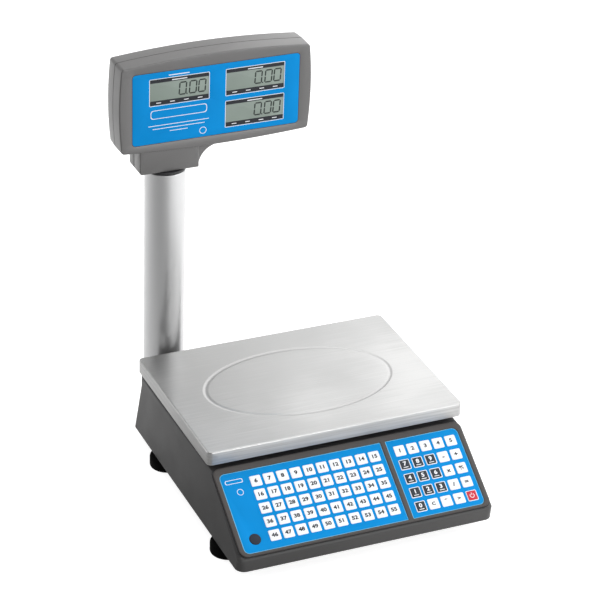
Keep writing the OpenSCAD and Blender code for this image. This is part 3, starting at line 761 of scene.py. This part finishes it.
def add_keys(node, places, labels, label_size=7.4):
    """The white caps of one key body with their printed labels."""
    plates(node + "_caps", key_items(places), DECK, WHITE, node, (node,))
    bm = bmesh.new()
    for (x, s), label in zip(places, labels):
        add_text(bm, label, label_size, x, -s, KEY_RISE + PRINT, 1.2, 0.045)
    add_print(node + "_labels", bm, INK, node)


def add_bordered_keys(node, places, material, margin, radius):
    """Coloured keys, each with a white printed border."""
    plates(node + "_border", key_items(places, KEY_RISE - PRINT), DECK, WHITE, node, (node,))
    plates(node + "_face", face_items(places, margin, radius), DECK, material, node)


def add_dark_keys(node, places, labels):
    """Dark digit keys with a white digit and a bar below it."""
    add_bordered_keys(node, places, KEY_DARK, 2.0, 0.9)
    bm = bmesh.new()
    top = KEY_RISE + PRINT
    for (x, s), label in zip(places, labels):
        add_text(bm, label, 8.2, x, -s + 1.2, top, 1.15)
        bm.faces.new(add_ring(bm, rectangle((x - 3.6, -s - 4.6), (x + 3.6, -s - 3.6)), top))
    add_print(node + "_labels", bm, WHITE, node)


def add_power_key(node, place):
    """The red key with its white border and the common standby sign."""
    x, s = place
    add_bordered_keys(node, [place], RED, 1.8, 1.0)
    bm = bmesh.new()
    top = KEY_RISE + PRINT
    add_strip(bm, *[add_ring(bm, arc((x, -s), radius, 130, 410, 24), top) for radius in (3.4, 2.6)])
    bm.faces.new(add_ring(bm, rectangle((x - 0.4, -s + 0.6), (x + 0.4, -s + 4.4)), top))
    add_print(node + "_sign", bm, WHITE, node)


def preset_places(row):
    """The ten places of one preset row, counted from the back."""
    return [(PRESET_START[0] + c * KEY_PITCH, PRESET_START[1] + row * PRESET_ROW) for c in range(10)]


def pad_place(row, column):
    """A place on the right-hand pad; rows and columns count from 1."""
    return PAD_START[0] + (column - 1) * KEY_PITCH, PAD_START[1] + (row - 1) * PAD_ROW


def build_keys():
    """All the keys, one node at a time."""
    for row in range(5):
        first = 6 + 10 * row
        add_keys(f"preset_keys_row_{row + 1}", preset_places(row), [str(first + c) for c in range(10)])
    add_keys("quick_keys", [pad_place(1, c) for c in range(1, 6)], "12345")
    for row, digits in ((2, "789"), (3, "456"), (4, "123")):
        add_dark_keys("digit_keys_" + digits, [pad_place(row, c) for c in (1, 2, 3)], digits)
    add_dark_keys("digit_key_0", [pad_place(5, 1)], "0")
    add_keys("function_keys", [pad_place(r, c) for r in (2, 3, 4) for c in (4, 5)], "-+x%/=", 8)
    add_keys("clear_key", [pad_place(5, 2)], "C", 6.5)
    add_keys("enter_key", [pad_place(5, 3)], "*", 8)
    add_keys("print_key", [pad_place(5, 4)], ">", 7)
    add_power_key("power_key", pad_place(5, 5))


# -------- feet and pole


def build_feet():
    """The four screw feet: a round pad with a soft shoulder, and a stud."""
    pad_high, shoulder, edge = 17, 4, 1.6
    collar, stud, tip = 8, 4, 0.8
    for name in ("front_left", "front_right", "rear_left", "rear_right"):
        foot = "foot_" + name
        low, high = local_box(foot)
        middle = ((low.x + high.x) / 2, (low.y + high.y) / 2)
        base, top, radius = low.z, low.z + pad_high, (high.x - low.x) / 2
        round_shoulder = arc((radius - shoulder, top - shoulder), shoulder, 0, 90, 6)
        profile = [(0, base), (radius - edge, base), (radius - 0.5, base + 0.4), (radius, base + edge)]
        profile += [(radius, base + 12.5), *round_shoulder, (collar, top), (collar, top + 2)]
        profile += [(stud, top + 2), (stud, high.z - tip), (stud - tip, high.z), (0, high.z)]
        lathe("foot_pad_" + name, profile, middle, RUBBER, foot, (foot,), 72)


POLE = (-129.4, 187.0)


def build_pole():
    """The pole, a plain tube."""
    low, high = local_box("pole")
    radius = (high.x - low.x) / 2
    wall, bevel = 2, 0.6
    profile = [(radius, low.z), (radius, high.z - bevel), (radius - bevel, high.z)]
    profile += [(radius - wall, high.z), (radius - wall, low.z)]
    lathe("pole_tube", profile, POLE, SILVER, "base", ("pole",), 128)


def build_collar():
    """The dark collar: a skirt inside the pole, a flange on it, and a thin neck that holds the head."""
    low, high = local_box("swivel_collar")
    top = 265.0
    flange = top + 3.8
    skirt, outer, neck, bore = 26.9, 28.95, 13, 8
    profile = [(bore, low.z), (skirt, low.z), (skirt, top), (outer - 0.4, top), (outer, top + 0.5)]
    profile += [(outer, flange - 0.8), (outer - 0.8, flange), (neck, flange), (neck, high.z - 1)]
    profile += [(neck - 1, high.z), (bore, high.z)]
    lathe("swivel_collar_ring", profile, POLE, DARK, "base", ("swivel_collar",))


# -------- display head

HEAD_X, HEAD_Z = -63.9, 367.3
FACE, SPLIT, BACK = 163.0, 188.0, 213.0
HEAD_W, HEAD_H = 276.4, 126.0
CROWN_TOP, CROWN_BOTTOM, CROWN_SIDE = 7.3, 4.5, 3.0
PANEL_W, PANEL_H = 244.0, 104.7
LCD_W, LCD_H = 85.7, 38.4
LCD_PLACES = [(-54.3, 23.2), (56.5, 23.2), (56.5, -24.0)]
NECK = (-174.5, -88.0)
NECK_LOW, NECK_HIGH = 269.0, 308.0
NECK_BACK = 207.0
NECK_BLEND = 31.0
NECK_BORE = 17.2
UPRIGHT = Matrix.Rotation(math.pi / 2, 4, "X")
TURNED = Matrix.Rotation(math.pi, 4, "Z")
FRONT_SIDE = Matrix.Translation(at(HEAD_X, FACE, HEAD_Z)) @ UPRIGHT
BACK_SIDE = Matrix.Translation(at(HEAD_X, BACK, HEAD_Z)) @ TURNED @ UPRIGHT


def head_outline(inset=0.0):
    """The head's outline about its middle: four bowed sides and round corners."""
    corner = 5.5
    reach = HEAD_W / 2 - corner
    radius = max(corner - inset, 0.5)

    def edge_z(x, height):
        return HEAD_H / 2 + height * (1 - (2 * x / HEAD_W) ** 2)

    def edge_x(t):
        return HEAD_W / 2 - inset + CROWN_SIDE * (1 - t * t)

    def corner_arc(x, z, quarter):
        """A round corner, six degrees short at both ends where the bowed sides take over."""
        return arc((x, z), radius, 90 * quarter + 6, 90 * quarter + 84, 8)

    top_z = edge_z(reach, CROWN_TOP) - corner
    low_z = edge_z(reach, CROWN_BOTTOM) - corner
    spans = [k / 12 for k in range(-11, 12)]
    rises = [k / 8 for k in range(-7, 8)]
    points = corner_arc(reach, top_z, 0)
    points += [(-reach * t, edge_z(reach * t, CROWN_TOP) - inset) for t in spans]
    points += corner_arc(-reach, top_z, 1)
    points += [(-edge_x(t), -t * (top_z if t < 0 else low_z)) for t in rises]
    points += corner_arc(-reach, -low_z, 2)
    points += [(reach * t, inset - edge_z(reach * t, CROWN_BOTTOM)) for t in spans]
    points += corner_arc(reach, -low_z, 3)
    points += [(edge_x(t), t * (top_z if t > 0 else low_z)) for t in rises]
    return points


def flipped(outline):
    """The same outline seen from behind."""
    return lambda inset=0.0: [(-x, y) for x, y in reversed(outline(inset))]


def head_half(name, place, outline, taper, rim, replaced):
    """One shell of the head, hollow from its split; its face lies at z = 0."""
    depth = SPLIT - FACE
    recess = rounded_rect(PANEL_W + 0.6, PANEL_H + 0.6, 5.2)
    groove, trim = 0.5, 0.02  # the parting line, and the gap that keeps the two shells apart
    side_steps, rim_steps = 5, 8
    bm = bmesh.new()
    rings = [add_ring(bm, outline(inset), z - depth)
             for inset, z in ((1.7, trim), (1.5, groove), (0.2, groove), (0, groove + 0.25))]
    for k in range(1, side_steps):
        t = k / side_steps
        rings.append(add_ring(bm, outline(taper * t * t), -depth + (depth - rim) * t))
    for k in range(rim_steps + 1):
        angle = math.pi / 2 * k / rim_steps
        rings.append(add_ring(bm, outline(taper + rim * (1 - math.cos(angle))), -rim + rim * math.sin(angle)))
    inner = [add_ring(bm, outline(2.6), trim - depth), add_ring(bm, outline(taper + 3), -3.2)]
    lip = [add_ring(bm, recess(inset), z) for inset, z in ((-0.5, 0), (-0.15, -0.15), (0, -0.5), (0, -0.9))]
    for row in (rings, [rings[0], *inner], lip):
        for first, second in zip(row, row[1:]):
            bridge(bm, first, second)
    fill(bm, inner[1])
    fill(bm, rings[-1], lip[0])
    fill(bm, lip[-1])
    return add_object(name, to_mesh(bm, name, place), HEAD, "head", replaced)


def neck_block(name, y0, y1, web):
    """The neck below the head: a rounded block, or the thinner web with its concave blend."""
    left, right = NECK
    corner, web_low = 4, NECK_LOW + 1.2
    if web:
        points = [(right - 12, NECK_HIGH), (right - 12, web_low), (right - 3, web_low)]
        points += arc((right + NECK_BLEND, NECK_LOW), NECK_BLEND, 176, 95, 14)
        points.append((right + NECK_BLEND + 4, NECK_HIGH))
    else:
        points = [(left, NECK_HIGH), (left, NECK_LOW + corner)]
        points += arc((left + corner, NECK_LOW + corner), corner, 180, 270, 5)[1:]
        points += [(right, NECK_LOW), (right, NECK_HIGH)]
    bm = bmesh.new()
    front, back = [[bm.verts.new((x, y, z)) for x, z in points] for y in (y0, y1)]
    bridge(bm, front, back)
    bm.faces.new(front)
    bm.faces.new(back)
    bmesh.ops.recalc_face_normals(bm, faces=bm.faces)
    rim = [e for e in bm.edges if len(e.link_faces) == 2 and e.calc_face_angle(0) > 0.6]
    bmesh.ops.bevel(bm, geom=rim, offset=1.3, segments=3, profile=0.5, affect="EDGES", clamp_overlap=True)
    return link(name, to_mesh(bm, name))


def neck_bore():
    """The upright hole through the neck, for the collar and its bush."""
    bm = bmesh.new()
    bmesh.ops.create_cone(bm, cap_ends=True, segments=64, radius1=NECK_BORE, radius2=NECK_BORE, depth=60)
    bm.transform(Matrix.Translation((*POLE, 272)))
    return link("bore", to_mesh(bm, "bore"))


def build_head_shells():
    """Both shells of the head, each with its half of the neck."""
    front = head_half("head_front", FRONT_SIDE, head_outline, 0.4, 1.9, ("head_front_shell",))
    rear_outline = flipped(head_outline)
    rear = head_half("head_rear", BACK_SIDE, rear_outline, 1.2, 2.4, ("head_rear_shell",))
    web_back = 1.6  # the web stands back from each half's outer face
    for shell, y0, y1, front_step, back_step in ((front, FACE + 1.2, SPLIT - 0.2, web_back, 0),
                                                 (rear, SPLIT + 0.2, NECK_BACK, 0, web_back)):
        neck = neck_block(shell.name + "_neck", y0, y1, False)
        web = neck_block(shell.name + "_web", y0 + front_step, y1 - back_step, True)
        cut(shell, [neck, web], "UNION")
        cut(shell, [neck_bore()])


def lcd_window(center, grow=0.0, radius=1.0):
    """A display window's outline, made larger."""
    return rounded_rect(LCD_W + grow, LCD_H + grow, radius, center, 4)


def add_zero(bm, x, y, height, z):
    """Draws a zero as six flat, slanted hexagons."""
    width, bar, slant, gap = height * 0.55, height * 0.115, 0.07, 0.12
    corners = [(0, height), (width, height), (width, height / 2), (width, 0), (0, 0), (0, height / 2)]
    for first, second in zip(corners, corners[1:] + corners[:1]):
        start, end = Vector(first), Vector(second)
        along = (end - start).normalized()
        across = Vector((-along.y, along.x)) * bar / 2
        a, b = start + along * bar * gap, end - along * bar * gap
        inner_a, inner_b = a + along * bar / 2, b - along * bar / 2
        points = [a, inner_a + across, inner_b + across, b, inner_b - across, inner_a - across]
        bm.faces.new([bm.verts.new((x + p.x + slant * p.y, y + p.y, z)) for p in points])


def window_digits(bm):
    """Zero, point, zero, zero in each display window, drawn from the right."""
    pitch, height, level = 13.2, 17.6, -0.33
    for x, z in LCD_PLACES:
        right, low = x + LCD_W / 2 - 15.4, z - 7.6
        for shift in (0, pitch, 2 * pitch + 1.6):
            add_zero(bm, right - shift, low, height, level)
        point = right - pitch - 4.3
        bm.faces.new(add_ring(bm, rectangle((point, low - 0.8), (point + 1.8, low + 1.0)), level))


def panel_marks():
    """The white marks: bars on the bands; lines, an outlined bar and a ring on the panel."""
    marks = []
    for x, z in LCD_PLACES:
        small = [(7, 1.1, x - 30 + 20 * k, z - LCD_H / 2 + 3.4) for k in range(4)]
        for width, height, a, b in (*small, (22, 1.3, x, z + LCD_H / 2 - 3.4)):
            marks.append((rounded_rect(width, height, 0.4, (a, b), 2), -0.28, -0.2, 0.0))
    for z, width, height in ((46.4, 30, 1.3), (-26, 88, 0.9), (-31, 76, 0.9), (-36, 26, 0.9)):
        marks.append((rounded_rect(width, height, 0.4, (-55, z), 2), -0.05, 0.04, 0.0))
    bar = [rounded_rect(82 - trim, 13 - trim, 4, (-55, -9.5), 6) for trim in (0, 1.8)]
    ring = [circle(radius, (-19.5, -42.8), 32) for radius in (5.2, 4.4)]
    return marks + [(outer, -0.05, 0.04, 0.0, [hole], 0.0) for outer, hole in (bar, ring)]


def build_panel(side, place, node):
    """One blue display panel with its three windows, bands, digits and plain marks."""

    def add(name, items, material, slot, replaced=()):
        plates(f"{name}_{side}", items, place, material, "head", replaced)

    holes = [lcd_window(c) for c in LCD_PLACES]
    outer = rounded_rect(PANEL_W, PANEL_H, 5)
    add("panel", [(outer, -0.85, 0.0, 0.12, holes, 0.05)], BLUE, "overlay_blue", (node,))
    glass = [(lcd_window(c, -0.1), -0.85, -0.35, 0.05) for c in LCD_PLACES]
    add("lcd", glass, GLASS, "lcd_glass", ("lcd_modules",))
    # a white printed line round each window
    lines = [(lcd_window(c, 1.6, 1.6), -0.2, PRINT, 0.0, [lcd_window(c, 0.1)], 0.0) for c in LCD_PLACES]
    add("window_lines", lines, WHITE, "key_white")
    # black bands above and below the liquid crystal
    bands = []
    for x, z in LCD_PLACES:
        for offset, height in ((LCD_H / 2 - 2.9, 5.2), (-LCD_H / 2 + 3.5, 6.4)):
            bands.append((rounded_rect(LCD_W - 0.6, height, 0.5, (x, z + offset), 2), -0.4, -0.28, 0.0))
    add("window_bands", bands, INK, "key_dark")
    digits = bmesh.new()
    window_digits(digits)
    add_object(f"digits_{side}", to_mesh(digits, f"digits_{side}", place), SEGMENT, "head")
    add("panel_marks", panel_marks(), WHITE, "key_white")
    # the dark joint round the panel
    joint = rounded_rect(PANEL_W + 1.5, PANEL_H + 1.5, 5.6)
    add("panel_joint", [(joint, -0.4, 0.02, 0.0, [outer], 0.0)], DARK, "collar_black")


def build_head():
    """The display head, alike on both sides."""
    build_head_shells()
    build_panel("front", FRONT_SIDE, "head_panel_front")
    build_panel("rear", BACK_SIDE, "head_panel_rear")


# -------- connectors and printer details

PORTS = (96.0, -96.0)
PORT_STEPS = (-19, 0, 19)
INLET = (34.0, -92.0)


def rear_wall(x, z):
    """A frame on the leaning rear wall: its Z points out of the wall, its Y up the wall."""
    y = REAR - (z - FLOOR) * math.tan(LEAN)
    return Matrix.Translation(at(x, y, z)) @ TURNED @ Matrix.Rotation(math.pi / 2 - LEAN, 4, "X")


def build_connectors():
    """Socket surrounds and contacts, pins in the mains inlet, and grip ridges on the door's latch."""
    wall = rear_wall(*PORTS)
    surrounds, contacts = [], []
    for x in PORT_STEPS:
        opening = rounded_rect(13.6, 9.8, 0.4, (x, 0), 2)
        surrounds.append((rounded_rect(16.6, 12.6, 1.2, (x, 0), 4), -0.6, 0.35, 0.15, [opening], 0.1))
        for middle in (x + 1.3 * k for k in range(-3, 4)):
            contacts.append(((middle - 0.35, 3.2, -8), (middle + 0.35, 4.2, -1.5)))
    plates("socket_surrounds", surrounds, wall, DARK, "base")
    blocks("socket_contacts", contacts, BRASS, "base", wall)
    pins = []
    for step, rise in ((-4.6, -1), (0, 1), (4.6, -1)):
        x, z = INLET[0] + step, INLET[1] + rise
        pins.append(((x - 1, 138, z - 2), (x + 1, 146, z + 2)))
    blocks("inlet_pins", pins, FASTENER, "base")
    low, high = local_box("door_latch")
    starts = [low.y + 1.6 + 1.7 * k for k in range(5)]
    ridges = [((high.x - 1, y, low.z + 1.5), (high.x + 0.15, y + 0.8, high.z - 1.5)) for y in starts]
    blocks("latch_ridges", ridges, DARK, "door_latch")


# -------- CAD nodes that stay


def dress(material, *nodes):
    """Gives CAD nodes that keep their own shape a better material."""
    for node in nodes:
        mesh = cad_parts[node].data
        mesh.materials.clear()
        mesh.materials.append(material)


def dress_nodes():
    """Materials for the nodes that keep their CAD shape."""
    dress(BLACK_COAT, "base_pan", "pole_socket")
    dress(CAST, "platter_spider")
    dress(RUBBER, "spider_pads", "platen_roller")
    dress(MACHINED, "load_cell", "print_head", "power_supply")
    dress(FASTENER, "load_cell_bolts", "base_screws", "door_pin", "motor_shaft")
    dress(GREEN, "key_board", "main_board", "head_board")
    dress(DARK, "mains_inlet", "door_latch")
    dress(PRESSED, "rear_ports", "printer_frame", "print_head_spring", "feed_motor")
    dress(NYLON, "neck_bush", "roll_spindle", "platen_gear")
    dress(BRASS, "motor_gear")
    dress(CARD, "roll_core")
    dress(PAPER, "label_roll")
    dress(HOUSING, "printer_door")


# -------- stage

FLOOR_COLOR = 0.50
FLOOR_GLOW = 0.86
DARK_SIDE = (-0.86, -0.50, 0.0)  # where the studio is dark: the left front


def add_light(name, place, aim, power, size):
    """A square soft light."""
    data = bpy.data.lights.new(name, "AREA")
    data.energy = power
    data.size = size
    lamp = link(name, data)
    ahead = (Vector(aim) - Vector(place)).normalized()
    lamp.matrix_world = Matrix.Translation(place) @ ahead.to_track_quat("-Z", "Y").to_matrix().to_4x4()


def toward_dark_side(tree, where):
    """How far a direction points to the dark side of the studio, from -1 to 1."""
    facing = tree.nodes.new("ShaderNodeVectorMath")
    facing.operation = "DOT_PRODUCT"
    facing.inputs[1].default_value = DARK_SIDE
    tree.links.new(where, facing.inputs[0])
    return facing.outputs["Value"]


def add_world():
    """A studio tent: bright behind and on the right, dark on the left front."""
    world = bpy.data.worlds.new("studio")
    bpy.context.scene.world = world
    world.use_nodes = True
    tree = world.node_tree
    background = tree.nodes["Background"]
    where = tree.nodes.new("ShaderNodeTexCoord").outputs["Generated"]
    strength = map_range(tree, toward_dark_side(tree, where), -0.65, 0.65, 0.85, 0.20, "SMOOTHSTEP")
    tree.links.new(strength, background.inputs["Strength"])
    background.inputs["Color"].default_value = (1, 1, 1, 1)


def floor_paper():
    """White paper; what the object mirrors and receives from it falls off towards the dark left front."""
    shader = Shader("floor_paper", (FLOOR_COLOR,) * 3, 0.85)
    tree = shader.tree
    ahead = tree.nodes.new("ShaderNodeVectorMath")
    ahead.operation = "NORMALIZE"
    tree.links.new(shader.where, ahead.inputs[0])
    falloff = map_range(tree, toward_dark_side(tree, ahead.outputs["Vector"]), -0.4, 1.0, 1.0, 0.30)
    seen = tree.nodes.new("ShaderNodeLightPath").outputs["Is Camera Ray"]
    level = calculate(tree, "MAXIMUM", falloff, seen)
    tree.links.new(calculate(tree, "MULTIPLY", level, FLOOR_COLOR), shader.surface.inputs["Base Color"])
    tree.links.new(calculate(tree, "MULTIPLY", level, FLOOR_GLOW), shader.surface.inputs["Emission Strength"])
    shader.set("Emission Color", (1, 1, 1, 1))
    return shader.material


def add_stage():
    """The paper floor, the tent and five soft lights."""
    mesh = bpy.data.meshes.new("floor")
    half = 40.0
    corners = [(x, y, 0) for x, y in rectangle((-half, -half), (half, half))]
    mesh.from_pydata(corners, [], [(0, 1, 2, 3)])
    mesh.materials.append(floor_paper())
    floor = link("floor", mesh)
    add_world()
    add_light("right_key", (2.2, -1.0, 1.9), (0, 0, 0.2), 42, 2.6)
    add_light("back_right", (1.64, 1.85, 1.38), (0.1, 0.05, 0.15), 11, 1.7)
    add_light("back_left", (-1.9, 1.3, 1.0), (0, 0, 0.4), 12.5, 0.9)
    add_light("top", (0.3, 0.2, 2.8), (0, 0, 0.1), 44, 3.2)
    add_light("front_fill", (0.7, -2.6, 0.4), (0, 0, 0.3), 31, 1.4)
    bpy.context.scene.view_settings.view_transform = "Standard"


# -------- all together

add_camera()
build_tray()
build_housing()
build_bezel()
build_overlays()
build_keys()
build_feet()
build_pole()
build_collar()
build_head()
build_connectors()
dress_nodes()
add_stage()
